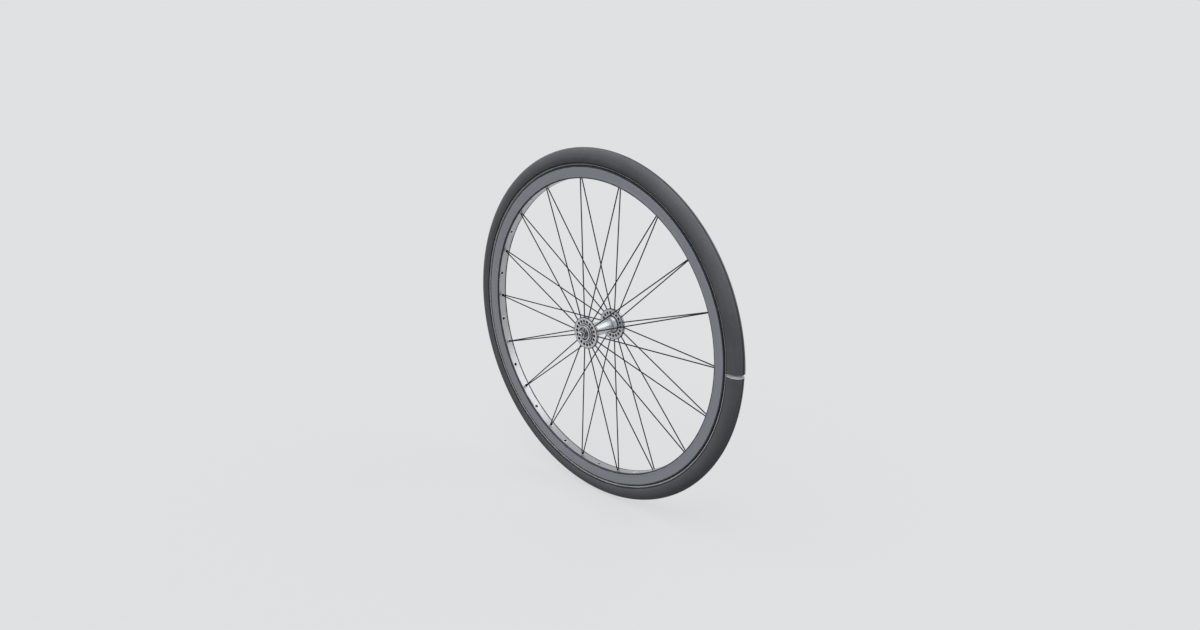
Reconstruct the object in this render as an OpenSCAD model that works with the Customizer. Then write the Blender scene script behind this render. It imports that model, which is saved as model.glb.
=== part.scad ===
// Bicycle wheel with paired radial spokes and a tyre that is slit right through.
// The wheel spins about Y. The origin is the middle of the hub and +Z is up.

/* [Rim] */
// Bead seat diameter of the rim
rim_seat_d = 622; // [500:1:760]
// Height of the rim's hook above its bead seat
rim_hook_h = 6; // [5:0.5:8]
// Depth of the rim from the bead seat to the spoke face
rim_depth = 18; // [15:0.5:40]
// Width over the rim's hooks
rim_hook_w = 25.5; // [24:0.5:32]
// Width of the rim at the spoke face
rim_bed_w = 22; // [18:0.5:24]
// Thickness of the side walls and of the spoke face
rim_wall = 1.9; // [1.2:0.1:2.4]
// Depth of the centre well below the bead seat
rim_well_h = 2.1; // [1.5:0.1:3]
// Thickness of the floor under the centre well
rim_floor = 1.6; // [1:0.1:2.5]

/* [Tyre] */
// Height of the tyre above the rim's edge
tyre_h = 33; // [24:1:60]
// Widest part of the tyre
tyre_w = 28.6; // [24:0.2:60]
// Thickness of the tyre's side walls
tyre_wall = 2.2; // [1.5:0.1:3]
// Thickness of the tyre under its crown
tyre_crown = 3.2; // [2.4:0.1:5]
// Width of a bead foot
bead_w = 3.2; // [2.6:0.1:3.4]
// Diameter of the bead wire
bead_wire_d = 1.6; // [1:0.1:2]
// Width of the slit that parts the tyre
slit_w = 4; // [1:0.5:12]

/* [Spokes] */
// Number of spoke pairs, which is also the number of empty holes
pair_count = 18; // [12:1:20]
// Diameter of a spoke
spoke_d = 2.3; // [1.6:0.1:2.5]
// Diameter of a spoke's head
head_d = 4; // [3:0.1:4.4]
// Thickness of a spoke's head
head_t = 1.3; // [0.8:0.1:1.8]
// Sideways place of the holes that hold a pair
pair_y = 1.2; // [0.8:0.1:1.6]
// Sideways place of the empty holes
spare_y = -2; // [-2.5:0.1:-1.5]
// Width of an eyelet's collar outside its tube
eyelet_collar_w = 0.9; // [0.5:0.1:1.5]
// Wall of the anchor outside the two spokes that it holds
anchor_wall = 1.8; // [1:0.1:2.4]
// Height of the anchor
anchor_h = 5; // [4:0.5:7]

/* [Hub] */
// Distance between the middles of the two flanges
flange_gap = 72; // [50:1:90]
// Diameter of a flange
flange_d = 63; // [56:1:90]
// Thickness of a flange
flange_t = 4.8; // [4.4:0.2:7]
// Diameter of the circle of spoke holes
keyhole_pcd = 46.8; // [44:0.4:50]
// Room round a spoke's head in its axial hole
keyhole_room = 1.2; // [1:0.1:1.6]
// Diameter of the hub's barrel
barrel_d = 26; // [22:1:30]
// Diameter of the barrel's bore
barrel_bore = 14; // [12:1:16]
// Distance from a flange's middle to the end of the shell
shell_end_l = 7; // [6.5:0.5:12]
// Diameter of the boss outside a flange
boss_d = 36; // [32:1:40]
// Diameter of the shell's end
shell_end_d = 31; // [28:1:32]

/* [Bearings] */
// Diameter of a bearing ball
ball_d = 4.76; // [4:0.02:5]
// Diameter of the circle of balls
ball_pcd = 17.2; // [16.8:0.1:18]
// Balls on each side
ball_count = 10; // [8:1:10]
// Wall of a bearing cup outside its race
cup_wall = 0.97; // [0.8:0.01:1.6]
// Diameter of the cone outside its race
cone_d = 15; // [13:0.5:16]
// Distance from the shell's end to the cone's outer face
cone_out = 2.4; // [2:0.2:6]
// Width across the cone's spanner flats
cone_flats = 13; // [12:0.5:14]

/* [Axle] */
// Diameter of the axle
axle_d = 9; // [8:0.5:10]
// How much thinner the axle's plain tips are than the axle
tip_step = 0.4; // [0.1:0.1:1]
// Bore through the axle
axle_bore = 5.2; // [4:0.1:6]
// Reach of the axle past a locknut
tip_l = 4; // [2:0.5:8]
// Thickness of a lock washer
washer_t = 1.2; // [0.8:0.1:2]
// Diameter of a lock washer
washer_d = 16; // [14:0.5:17]
// Thickness of a locknut
locknut_t = 3.4; // [3:0.2:6]
// Width across a locknut's flats
locknut_flats = 15; // [14:0.5:19]

/* [Hidden] */
$fn = 96;
PAIR_NUMBERS = [1:pair_count];
function two_digits(n) = n < 10 ? str("0", n) : str(n);
function spoke_name(side, n) = str("spoke_", side, "_", two_digits(n));

// The near side of the wheel faces -Y and the far side faces +Y.
NEAR = -1;
FAR = 1;
// Clearances: a push fit, a running fit at the balls, and a loose seat.
push_gap = 0.05;
run_gap = 0.05;
seat_gap = 0.1;
// Overshoot of a cutting tool past the face that it cuts.
over = 1;

// Radii of the rim, measured from the spin axis.
seat_r = rim_seat_d / 2;
rim_r = seat_r + rim_hook_h;
bed_r = seat_r - rim_depth;
bed_inside_r = bed_r + rim_wall;
well_r = seat_r - rim_well_h;
floor_r = well_r - rim_floor;
// The hook's lip stands in from the channel wall and grips the tyre under its edge.
lip_in = 1.4;
lip_h = 2;
lip_slope = 1;
lip_radius = 0.4;
bed_chamfer = 0.8;
wall_lean = 0.25;
channel_half = rim_hook_w / 2 - rim_wall - wall_lean;
lip_half = channel_half - lip_in;
function rim_half(r) = (rim_bed_w + (rim_hook_w - rim_bed_w) * (r - bed_r) / (rim_r - bed_r)) / 2;

// The tyre's section is an oval that leaves the rim between the two lips.
tyre_r = rim_r + tyre_h;
throat_gap = 0.3;
throat_half = lip_half - throat_gap;
throat_rise = sqrt(1 - pow(throat_half / (tyre_w / 2), 2));
oval_high = tyre_h / (1 + throat_rise);
oval_r = tyre_r - oval_high;
throat_angle = -asin(throat_rise);
oval_steps = 40;
bead_half = channel_half - throat_gap;
bead_seat_r = seat_r + seat_gap;
core_gap = 0.3;
wire_cover = 0.6;
wire_y = bead_half - bead_w / 2;
wire_r = bead_seat_r + bead_wire_d / 2 + wire_cover;

// Rim holes: an eyelet lines each one, and the access hole above it lets the anchor in.
pair_step = 360 / pair_count;
eyelet_wall = 0.4;
eyelet_collar_t = 0.5;
eyelet_r = bed_r - seat_gap - eyelet_collar_t;
eyelet_top_r = bed_inside_r + 0.5;
anchor_r = eyelet_top_r + seat_gap;
tape_t = 0.8;
tape_gap = 0.3;
tape_r = well_r + push_gap;

// A spoke runs from its axial hole in the flange to the anchor inside the rim.
spoke_end_r = anchor_r + anchor_h / 2;
pair_web = 0.02;
pair_space = spoke_d + 2 * push_gap + pair_web;
flange_o = flange_gap / 2;
keyhole_r = keyhole_pcd / 2;
keyhole_d = head_d + keyhole_room;
head_seat = sqrt(pow(keyhole_d / 2, 2) - pow(head_d / 2, 2)) - seat_gap;
head_r = keyhole_r + head_seat;
// The heads sit a little outside the flange's middle, so that a spoke leaves it near the middle.
head_shift = 0.4;
head_o = flange_o + head_shift;

// How far the outer side of a pair reaches sideways at a radius, and what it passes through there.
spoke_slope = (head_o + pair_y) / (spoke_end_r - head_r);
function pair_reach(r) = (pair_space + spoke_d) / 2 + (spoke_end_r - r) * spoke_slope;
eyelet_bore = 2 * (pair_reach(eyelet_r) + seat_gap);
eyelet_d = eyelet_bore + 2 * eyelet_wall;
eyelet_collar_d = eyelet_d + 2 * eyelet_collar_w;
rim_hole_d = eyelet_d + 2 * push_gap;
anchor_d = 2 * (pair_reach(anchor_r) + anchor_wall);
access_room = 0.8;
access_d = anchor_d + access_room;
well_edge = 0.2;
rim_well_w = 2 * (max(pair_y, -spare_y) + access_d / 2 + well_edge);

// Places along the spin axis, measured outward from the middle of the hub.
shell_end_o = flange_o + shell_end_l;
cup_end_o = shell_end_o - 1;
ball_o = cup_end_o - ball_d / 2 - run_gap;
cup_floor_t = 1.8;
cup_floor_o = ball_o - ball_d / 2 - run_gap;
cup_start_o = cup_floor_o - cup_floor_t;
cone_end_o = shell_end_o + cone_out;
washer_end_o = cone_end_o + washer_t;
locknut_end_o = washer_end_o + locknut_t;
axle_end_o = locknut_end_o + tip_l;
race_r = ball_d / 2 + run_gap;
ball_r = ball_pcd / 2;
// The cone's race starts clear of the cup's floor and stops short of the balls' centres.
cone_start_o = cup_floor_o + 1.4;
cone_race_end_o = cup_end_o + 0.6;
cone_race_r = ball_r - 0.2;
// The cage lies outside the balls' centres, clear of the cone and of the cup.
cage_in_r = ball_r + 0.6;
cage_out_r = ball_r + race_r - 0.25;
cage_start_o = ball_o + 0.4;
cage_end_o = ball_o + 2;
cup_d = 2 * (ball_r + race_r + cup_wall);
axle_hole_r = axle_d / 2 + push_gap;
tip_d = axle_d - tip_step;

tyre_colour = [0.22, 0.23, 0.24];
rubber_cut_colour = [0.68, 0.69, 0.71];
rim_colour = [0.46, 0.48, 0.51];
silver_colour = [0.78, 0.79, 0.81];
steel_colour = [0.36, 0.38, 0.40];
dark_colour = [0.18, 0.19, 0.20];

// Turns what is drawn about Z so that its axis lies along +Y.
module on_spin_axis() { rotate([-90, 0, 0]) children(); }

// Puts what is drawn for the far side on the side asked for.
module on_side(side) { mirror([0, side == NEAR ? 1 : 0, 0]) on_spin_axis() children(); }

// Turns what is drawn along +X to an angle from +X towards +Z.
module at_angle(a) { rotate([0, -a, 0]) children(); }

// A ring of section points [radius, distance along the axis].
module ring(points) { rotate_extrude() polygon(points); }

// A plain ring between two radii and two distances along the axis.
module band(r_in, r_out, o_in, o_out) { rotate_extrude() patch(r_in, r_out, o_in, o_out); }

// A rectangle of a section, between two radii and two distances along the axis.
module patch(r_in, r_out, o_in, o_out) { translate([r_in, o_in]) square([r_out - r_in, o_out - o_in]); }

// A round bar along +X, from one radius to another, at a sideways place.
module radial_bar(r_from, r_to, y, d) {
    translate([r_from, y, 0]) rotate([0, 90, 0]) cylinder(h = r_to - r_from, d = d);
}

// Both halves of a section, from the points of its +Y half in order.
function mirrored(half) = concat(half, [for (i = [len(half) - 1:-1:0]) [half[i][0], -half[i][1]]]);

// Rim

function rim_outline() = mirrored([
    [bed_r, rim_bed_w / 2 - bed_chamfer],
    [bed_r + bed_chamfer, rim_half(bed_r + bed_chamfer)],
    [rim_r - lip_radius, rim_half(rim_r - lip_radius)],
    [rim_r, rim_hook_w / 2 - lip_radius],
    [rim_r, lip_half + lip_radius],
    [rim_r - lip_radius, lip_half],
    [rim_r - lip_h, lip_half],
    [rim_r - lip_h - lip_slope, channel_half],
    [seat_r, channel_half],
    [seat_r, rim_well_w / 2],
    [well_r, rim_well_w / 2]]);

module rim_cavity() {
    ring(mirrored([
        [bed_inside_r, rim_half(bed_inside_r) - rim_wall],
        [floor_r, rim_half(floor_r) - rim_wall]]));
}

// Cuts one bed hole and the access hole above it.
module rim_hole(y) {
    radial_bar(bed_r - over, bed_inside_r + over, y, rim_hole_d);
    radial_bar(floor_r - over, seat_r, y, access_d);
}

// Repeats something at every spoke pair, or half way between the pairs.
module at_pairs() { for (i = [0:pair_count - 1]) at_angle(i * pair_step) children(); }
module at_spares() { for (i = [0:pair_count - 1]) at_angle((i + 0.5) * pair_step) children(); }

module rim() {
    color(rim_colour) difference() {
        on_spin_axis() ring(rim_outline());
        on_spin_axis() rim_cavity();
        at_pairs() rim_hole(pair_y);
        at_spares() rim_hole(spare_y);
    }
}

module eyelet(y) {
    difference() {
        union() {
            radial_bar(eyelet_r, eyelet_r + eyelet_collar_t, y, eyelet_collar_d);
            radial_bar(eyelet_r, eyelet_top_r, y, eyelet_d);
        }
        radial_bar(eyelet_r - over, eyelet_top_r + over, y, eyelet_bore);
    }
}

module rim_eyelets() {
    color(silver_colour) {
        at_pairs() eyelet(pair_y);
        at_spares() eyelet(spare_y);
    }
}

module rim_tape() {
    half = rim_well_w / 2 - tape_gap;
    color(dark_colour) on_spin_axis() band(tape_r, tape_r + tape_t, -half, half);
}

// Tyre

// Thickness of the tyre at an angle round the oval, where 90 is the crown.
function tyre_skin(a) = tyre_wall + (tyre_crown - tyre_wall) * pow(max(0, sin(a)), 2);

// A point of the oval at an angle, moved inward along its normal.
function oval_point(a, inward) =
    let (across = cos(a) / (tyre_w / 2), up = sin(a) / oval_high, size = norm([across, up]))
    [oval_r + oval_high * sin(a) - inward * up / size, tyre_w / 2 * cos(a) - inward * across / size];

function oval_angle(i) = throat_angle + (180 - 2 * throat_angle) * i / oval_steps;

function tyre_outline() = concat(
    [for (i = [0:oval_steps]) oval_point(oval_angle(i), 0)],
    bead_outline(-1),
    [for (i = [oval_steps:-1:0]) oval_point(oval_angle(i), tyre_skin(oval_angle(i)))],
    [for (i = [4:-1:0]) bead_outline(1)[i]]);

// A bead foot from the lip round to its inner edge, on the side asked for.
function bead_outline(side) = [
    [rim_r - lip_h + throat_gap - seat_gap, side * throat_half],
    [rim_r - lip_h - lip_slope - seat_gap, side * bead_half],
    [bead_seat_r, side * bead_half],
    [bead_seat_r, side * (bead_half - bead_w)],
    [rim_r, side * (bead_half - bead_w)]];

// The two rings of bead wire, thicker by a gap when they cut their own channel.
module bead_rings(gap) {
    for (side = [NEAR, FAR])
        rotate_extrude() translate([wire_r, side * wire_y]) circle(d = bead_wire_d + 2 * gap);
}

// The slit lies in the plane of the spin axis, at 0 degrees.
module slit() {
    translate([well_r, -tyre_w, -slit_w / 2]) cube([tyre_r - well_r + over, 2 * tyre_w, slit_w]);
}

module tyre() {
    color(tyre_colour) difference() {
        on_spin_axis() ring(tyre_outline());
        on_spin_axis() bead_rings(push_gap);
        slit();
    }
}

module bead_wires() {
    color(steel_colour) difference() {
        on_spin_axis() bead_rings(0);
        slit();
    }
}

module foam_core() {
    neck = bead_half - bead_w - core_gap * 2;
    foot_r = tape_r + tape_t + seat_gap;
    points = concat(
        [for (i = [0:oval_steps]) oval_point(oval_angle(i), tyre_skin(oval_angle(i)) + core_gap)],
        [[rim_r, -neck], [foot_r, -neck], [foot_r, neck], [rim_r, neck]]);
    color(rubber_cut_colour) on_spin_axis() ring(points);
}

// Spokes

// The line of a spoke on one side: its start and its end as [radius, sideways].
function spoke_start(side) = [head_r, side * head_o];
function spoke_finish(side) = [spoke_end_r, pair_y + side * pair_space / 2];

// Draws along +Z what lies along a spoke, from a distance before its head's seat.
module along_spoke(side) {
    from = spoke_start(side);
    to = spoke_finish(side);
    translate([from[0], from[1], 0])
        rotate([0, 0, atan2(to[1] - from[1], to[0] - from[0])])
            rotate([0, 90, 0]) children();
}

function spoke_length(side) = norm(spoke_finish(side) - spoke_start(side));

module spoke(side, n) {
    color(steel_colour) at_angle((n - 1) * pair_step) along_spoke(side) {
        cylinder(h = spoke_length(side), d = spoke_d);
        translate([0, 0, -head_t]) cylinder(h = head_t, d = head_d);
    }
}

// The bore that a spoke needs, from its head's seat to just past its end.
module spoke_bore(side) {
    along_spoke(side) cylinder(h = spoke_length(side) + seat_gap, d = spoke_d + 2 * push_gap);
}

module spoke_anchors() {
    color(silver_colour) at_pairs() difference() {
        radial_bar(anchor_r, anchor_r + anchor_h, pair_y, anchor_d);
        for (side = [NEAR, FAR]) spoke_bore(side);
    }
}

// Hub

flange_chamfer = 0.8;
boss_h = 2.2;
boss_chamfer = 0.6;
flare_l = 6.6;
flare_r = barrel_d / 2 + 3.5;

function shell_outline() = [
    [barrel_bore / 2, 0],
    [barrel_d / 2, 0],
    [barrel_d / 2, flange_o - flange_t / 2 - flare_l],
    [flare_r, flange_o - flange_t / 2],
    [flange_d / 2 - flange_chamfer, flange_o - flange_t / 2],
    [flange_d / 2, flange_o - flange_t / 2 + flange_chamfer],
    [flange_d / 2, flange_o + flange_t / 2 - flange_chamfer],
    [flange_d / 2 - flange_chamfer, flange_o + flange_t / 2],
    [boss_d / 2, flange_o + flange_t / 2],
    [boss_d / 2, flange_o + flange_t / 2 + boss_h],
    [boss_d / 2 - boss_chamfer, flange_o + flange_t / 2 + boss_h + boss_chamfer],
    [shell_end_d / 2, flange_o + flange_t / 2 + boss_h + boss_chamfer],
    [shell_end_d / 2, shell_end_o],
    [cup_d / 2 + push_gap, shell_end_o],
    [cup_d / 2 + push_gap, cup_start_o - push_gap],
    [barrel_bore / 2, cup_start_o - push_gap]];

// The axial holes that take the spoke heads, through both flanges.
module keyholes() {
    at_pairs() for (side = [NEAR, FAR])
        translate([keyhole_r, side * flange_o, 0]) rotate([90, 0, 0])
            cylinder(h = flange_t + 2 * over, d = keyhole_d, center = true);
}

module flange_bores() {
    at_pairs() for (side = [NEAR, FAR])
        along_spoke(side) cylinder(h = flange_d / 2 - keyhole_r, d = spoke_d + 2 * push_gap);
}

module hub_shell() {
    color(silver_colour) difference() {
        union() for (side = [NEAR, FAR]) on_side(side) ring(shell_outline());
        keyholes();
        flange_bores();
    }
}

// A pressed ring with a flange over the shell's end.
module dust_cap(side) {
    cap_t = 0.8;
    sleeve_in = cup_d / 2 - 1;
    flange_r = shell_end_d / 2 - 0.4;
    color(silver_colour) on_side(side) union() {
        band(sleeve_in, cup_d / 2, cup_end_o + seat_gap, shell_end_o);
        band(sleeve_in, flange_r, shell_end_o, shell_end_o + cap_t);
    }
}

// Bearings

module race() { translate([ball_r, ball_o]) circle(r = race_r); }

// The cup holds the balls from outside and from the middle of the hub.
module bearing_cup(side) {
    color(steel_colour) on_side(side) rotate_extrude() difference() {
        patch(axle_d / 2 + 2, cup_d / 2, cup_start_o, cup_end_o);
        patch(axle_d / 2, ball_r, cup_floor_o, cup_end_o + over);
        patch(ball_r - over, ball_r + race_r, ball_o, cup_end_o + over);
        race();
    }
}

// The cone holds the balls from inside and from the end of the axle.
module cone_race() {
    rotate_extrude() difference() {
        union() {
            patch(axle_hole_r, ball_r - race_r, cone_start_o, ball_o);
            patch(axle_hole_r, cone_race_r, ball_o, cone_race_end_o);
        }
        race();
    }
}

// Outside the race the cone is round, then flat on two sides for a spanner.
module cone(side) {
    flats_h = 1.8;
    color(steel_colour) on_side(side) union() {
        cone_race();
        intersection() {
            band(axle_hole_r, cone_d / 2, cone_race_end_o, cone_end_o);
            union() {
                cylinder(h = cone_end_o - flats_h, r = cone_d);
                translate([-cone_d, -cone_flats / 2, 0]) cube([2 * cone_d, cone_flats, cone_end_o]);
            }
        }
    }
}

module balls(r) {
    for (i = [0:ball_count - 1]) rotate([0, 0, i * 360 / ball_count])
        translate([ball_r, 0, ball_o]) sphere(r = r);
}

module ball_set(side) { color(silver_colour) on_side(side) balls(ball_d / 2); }

// A ring with a pocket for each ball, in the space outside the cone and the balls' centres.
module ball_cage(side) {
    color(dark_colour) on_side(side) difference() {
        band(cage_in_r, cage_out_r, cage_start_o, cage_end_o);
        balls(race_r);
    }
}

// Axle

module lock_washer(side) {
    color(silver_colour) on_side(side) band(axle_hole_r, washer_d / 2, cone_end_o, washer_end_o);
}

module locknut(side) {
    corner_r = locknut_flats / 2 / cos(30);
    color(silver_colour) on_side(side) difference() {
        translate([0, 0, washer_end_o]) cylinder(h = locknut_t, r = corner_r, $fn = 6);
        translate([0, 0, washer_end_o - over]) cylinder(h = locknut_t + 2 * over, r = axle_hole_r);
    }
}

module axle() {
    tip_chamfer = 0.5;
    half = [
        [axle_bore / 2, axle_end_o],
        [tip_d / 2 - tip_chamfer, axle_end_o],
        [tip_d / 2, axle_end_o - tip_chamfer],
        [tip_d / 2, locknut_end_o],
        [axle_d / 2, locknut_end_o]];
    color(silver_colour) on_spin_axis() ring(mirrored(half));
}

tyre();
bead_wires();
foam_core();
rim_tape();
rim();
rim_eyelets();
spoke_anchors();
for (n = PAIR_NUMBERS) spoke(NEAR, n);
for (n = PAIR_NUMBERS) spoke(FAR, n);
hub_shell();
bearing_cup(NEAR);  // bearing_cup_near
bearing_cup(FAR);  // bearing_cup_far
dust_cap(NEAR);  // dust_cap_near
dust_cap(FAR);  // dust_cap_far
ball_set(NEAR);  // ball_set_near
ball_set(FAR);  // ball_set_far
ball_cage(NEAR);  // ball_cage_near
ball_cage(FAR);  // ball_cage_far
cone(NEAR);  // cone_near
cone(FAR);  // cone_far
lock_washer(NEAR);  // lock_washer_near
lock_washer(FAR);  // lock_washer_far
locknut(NEAR);  // locknut_near
locknut(FAR);  // locknut_far
axle();
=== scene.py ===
"""Builds the looks of a bicycle wheel with paired radial spokes and a slit tyre."""

import math

import bmesh
import bpy
from bpy.props import FloatProperty, FloatVectorProperty, IntProperty, PointerProperty
from bpy.types import Operator, Panel, PropertyGroup
from mathutils import Matrix, Vector


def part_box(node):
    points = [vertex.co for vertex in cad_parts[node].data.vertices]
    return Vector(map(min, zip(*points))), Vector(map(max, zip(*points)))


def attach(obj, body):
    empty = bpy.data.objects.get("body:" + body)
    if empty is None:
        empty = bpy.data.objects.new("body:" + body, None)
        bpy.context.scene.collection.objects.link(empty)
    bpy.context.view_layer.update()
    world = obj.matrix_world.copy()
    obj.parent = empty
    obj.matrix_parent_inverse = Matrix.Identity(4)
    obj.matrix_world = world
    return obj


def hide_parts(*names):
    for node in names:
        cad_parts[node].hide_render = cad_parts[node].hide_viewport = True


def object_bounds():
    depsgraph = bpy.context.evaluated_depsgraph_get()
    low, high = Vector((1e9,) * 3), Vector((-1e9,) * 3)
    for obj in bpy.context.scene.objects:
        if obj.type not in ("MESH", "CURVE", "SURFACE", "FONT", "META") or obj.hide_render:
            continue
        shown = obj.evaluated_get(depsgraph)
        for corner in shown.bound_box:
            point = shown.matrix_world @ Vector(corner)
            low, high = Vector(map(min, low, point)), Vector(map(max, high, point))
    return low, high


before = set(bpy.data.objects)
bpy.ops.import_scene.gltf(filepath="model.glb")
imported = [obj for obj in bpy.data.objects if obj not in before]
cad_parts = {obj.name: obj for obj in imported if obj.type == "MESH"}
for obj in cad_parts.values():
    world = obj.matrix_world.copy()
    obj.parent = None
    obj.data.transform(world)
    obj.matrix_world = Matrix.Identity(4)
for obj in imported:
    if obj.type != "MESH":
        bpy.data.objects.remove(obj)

bl_info = {
    "name": "Spoked wheel with a slit tyre",
    "version": (1, 0, 0),
    "blender": (4, 5, 0),
    "location": "3D View > Sidebar > Wheel",
    "description": "Makes the pieces, the finishes and the stage of a bicycle wheel",
    "category": "Object",
}

CAD_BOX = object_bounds()
MM = 0.001
SIDES = ((-1, "near"), (1, "far"))
PAIRS = range(1, 1 + sum(name.startswith("spoke_near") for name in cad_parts))
FULL_TURN = 2 * math.pi
PAIR_STEP = FULL_TURN / len(PAIRS)
SHARP_ANGLE = math.radians(32)
SENSOR_WIDTH, FARTHEST_SEEN, LAMP_DISTANCE = 36, 200, 3
RIM_STEPS, HOLE_STEPS = 720, 32


def reach(node):
    """Outermost radius and outermost sideways place of a CAD node, in metres."""
    low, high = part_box(node)
    return max(high.x, high.z), max(abs(low.y), abs(high.y))


TYRE_R, TYRE_HALF = reach("tyre")
RIM_R, RIM_HALF = reach("rim")
FLANGE_R, SHELL_END = reach("hub_shell")
AXLE_R, AXLE_END = reach("axle")
NUT_END = reach("locknut_far")[1]


# Settings that a user would change

def length(millimetres, text):
    return FloatProperty(description=text, default=millimetres * MM, unit="LENGTH", precision=5)


def colour(default, text):
    return FloatVectorProperty(description=text, default=default, subtype="COLOR", size=3, min=0, max=1)


def angle(degrees, text):
    return FloatProperty(description=text, default=math.radians(degrees), subtype="ANGLE")


def number(default, text):
    return FloatProperty(description=text, default=default)


class TyreSettings(PropertyGroup):
    wall: length(2.2, "Thickness of the tyre's side walls")
    crown: length(3.2, "Thickness of the tyre under its crown")
    throat: length(8.9, "Half the width of the tyre where it leaves the rim")
    bead_half: length(10.3, "Sideways place of a bead foot's outer face")
    bead_width: length(3.2, "Width of a bead foot")
    bead_seat: length(311.1, "Radius that the bead feet sit on")
    mould_line: length(0.12, "Height of the mould line round the crown")
    slit: length(4, "Width of the slit that parts the tyre")
    sprung: length(2, "How far the upper end at the slit stands out sideways")
    sprung_over: angle(24, "Angle over which the sprung end fades away")
    rim_line: angle(10.8, "Angle up the section from the rim to the moulded line above it")
    segments: IntProperty(default=720, description="Steps round the tyre")


class RimSettings(PropertyGroup):
    bed: length(293, "Radius of the face that the spokes enter")
    bed_half: length(11, "Half the width of the spoke face")
    wall: length(1.9, "Thickness of the side walls and of the spoke face")
    seat: length(311, "Radius of the bead seat")
    lip: length(9.2, "Half the width of the opening between the hooks")
    channel: length(10.6, "Half the width of the channel under the hooks")
    well: length(2.1, "Depth of the centre well below the bead seat")
    floor: length(1.6, "Thickness of the floor under the centre well")
    groove: length(0.25, "Depth of the grooves that bound the brake track")
    groove_half: length(0.45, "Half the width of those grooves")
    track_in: length(7.5, "Distance of the inner groove from the spoke face")
    track_out: length(2.6, "Distance of the outer groove from the rim's edge")
    pair_y: length(1.2, "Sideways place of the holes that hold a pair")
    spare_y: length(-2, "Sideways place of the empty holes")
    eyelet_wall: length(0.4, "Thickness of an eyelet's tube")
    eyelet_collar: length(0.9, "Width of an eyelet's rolled collar")


class SpokeSettings(PropertyGroup):
    thick: length(2.3, "Diameter of a spoke")
    head: length(4, "Diameter of a spoke's head")
    head_height: length(1.3, "Thickness of a spoke's head")
    head_radius: length(24.961, "Radius from the axis at which a head seats")
    head_side: length(36.4, "Sideways place of a head")
    end_radius: length(298, "Radius from the axis at which a spoke ends")
    spread: length(2.42, "Distance between the two ends of a pair")


class HubSettings(PropertyGroup):
    flange_side: length(36, "Sideways place of a flange's middle")
    flange_t: length(4.8, "Thickness of a flange")
    barrel_r: length(13, "Radius of the barrel")
    bore_r: length(7, "Radius of the barrel's bore")
    boss_r: length(18, "Radius of the boss outside a flange")
    boss_h: length(2.8, "How far a boss stands out from its flange")
    flare_r: length(16.5, "Radius of the barrel where it meets a flange")
    end_r: length(15.5, "Radius of the shell's end")
    cup_r: length(12.05, "Radius of the seat of a bearing cup")
    cup_start: length(35.29, "Sideways place of the shoulder behind a cup")
    cap_bore: length(11, "Radius of the opening in a dust cap")
    nut_half: length(7.5, "Half the width of a locknut over its flats")
    keyhole_circle: length(23.4, "Radius of the circle of spoke holes")
    keyhole_r: length(2.6, "Radius of a spoke hole")


class ColourSettings(PropertyGroup):
    rubber: colour((0.150, 0.158, 0.170), "Tread and side walls of the tyre")
    # Painted highlight: a pale line along the moulded line above the rim.
    worn: colour((0.78, 0.80, 0.83), "Line above the rim that is rubbed pale")
    cut: colour((0.76, 0.78, 0.81), "Fresh cut through the tyre")
    foam: colour((0.74, 0.76, 0.79), "Foam core of the tyre")
    tape: colour((0.055, 0.058, 0.064), "Woven rim tape")
    rim: colour((0.285, 0.302, 0.335), "Satin alloy of the rim")
    # Lighter copy of the rim's alloy for its inner face: painted light, as that face is lit more than
    # the side walls.
    bed: colour((0.46, 0.474, 0.498), "Polished alloy of the rim's inner face and lips")
    hub: colour((0.61, 0.635, 0.665), "Turned alloy of the hub")
    spoke: colour((0.019, 0.023, 0.029), "Drawn steel of the spokes")
    steel: colour((0.42, 0.43, 0.44), "Hardened steel of the bearings")
    plate: colour((0.60, 0.62, 0.64), "Bright plating on nuts, washers and caps")
    plated_brass: colour((0.55, 0.56, 0.57), "Nickel-plated anchors inside the rim")
    dust: colour((0.36, 0.35, 0.33), "Dry road dust")
    # Near-black for the dark of the crazing cracks, and for painted shade in corners, gaps, edges and
    # the hub's spoke holes.
    grime: colour((0.018, 0.019, 0.021), "Oily dirt in corners")


class StageSettings(PropertyGroup):
    back: colour((0.745, 0.753, 0.761), "Colour of the backdrop")
    floor: colour((0.765, 0.774, 0.782), "Colour of the floor")
    sky: number(0.38, "Strength of the even light")
    key: number(1.5, "Strength of the main lamp")
    key_turn: angle(-5, "Direction of the main lamp round the wheel")
    key_rise: angle(68, "Height of the main lamp above the horizon")
    key_soft: angle(60, "Width of the main lamp's face, seen from the wheel")
    back_lamp: number(0.75, "Strength of the back lamp")
    back_turn: angle(146, "Direction of the back lamp round the wheel")
    back_rise: angle(37, "Height of the back lamp above the horizon")
    back_soft: angle(50, "Width of the back lamp's face, seen from the wheel")
    bounce: colour((0.08, 0.08, 0.084), "Colour of the light that the floor gives back")
    floor_glow: number(0.8, "Share of the floor's look that shadows leave alone")
    view_turn: angle(45, "Direction of the camera round the wheel")
    view_rise: angle(19.89, "Height of the camera above the horizon")
    distance: length(2052, "Distance of the camera from the hub")
    lens: number(31.68, "Focal length of the camera")
    shift_x: number(0.00025, "Sideways shift of the view, as a share of its width")
    shift_y: number(0.01104, "Upward shift of the view, as a share of its width")


class WheelSettings(PropertyGroup):
    tyre: PointerProperty(type=TyreSettings)
    rim: PointerProperty(type=RimSettings)
    spokes: PointerProperty(type=SpokeSettings)
    hub: PointerProperty(type=HubSettings)
    colours: PointerProperty(type=ColourSettings)
    stage: PointerProperty(type=StageSettings)


def settings():
    return bpy.context.scene.wheel_settings


OPERATORS = []


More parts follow.
